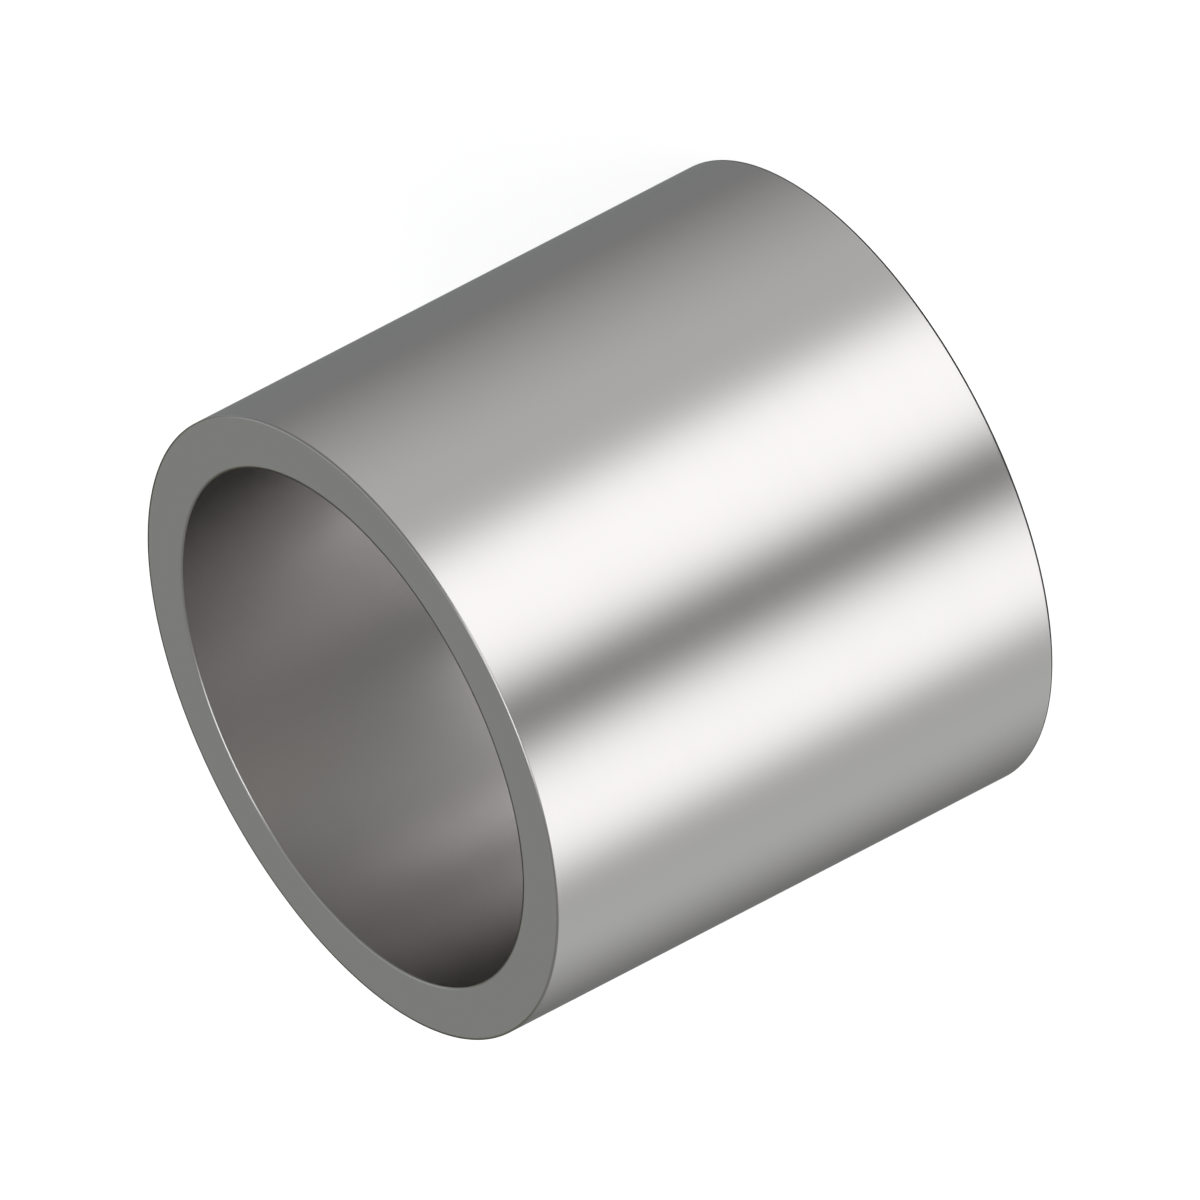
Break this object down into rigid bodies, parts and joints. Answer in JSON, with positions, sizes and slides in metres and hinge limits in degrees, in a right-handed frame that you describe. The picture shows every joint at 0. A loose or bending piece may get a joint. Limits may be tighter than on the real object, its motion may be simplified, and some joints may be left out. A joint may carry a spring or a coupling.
{
  "type": "spacer sleeve",
  "caption": "Plain steel spacer sleeve: a short, thin-walled tube with square ends that slides over a shaft or bolt and holds two parts a set distance apart.",
  "frame": {"origin": "centre of the lower end face, on the sleeve's axis", "axes": "+Z along the sleeve's axis, from the lower end to the upper end; the sleeve is round, so X and Y are free"},
  "size_m": [0.03, 0.03, 0.027],
  "materials": {
    "turned_steel": "fine turned and ground, bare, satin sheen"
  },
  "bodies": {
    "root": {"spacer_sleeve": "turned_steel"}
  },
  "joints": []
}
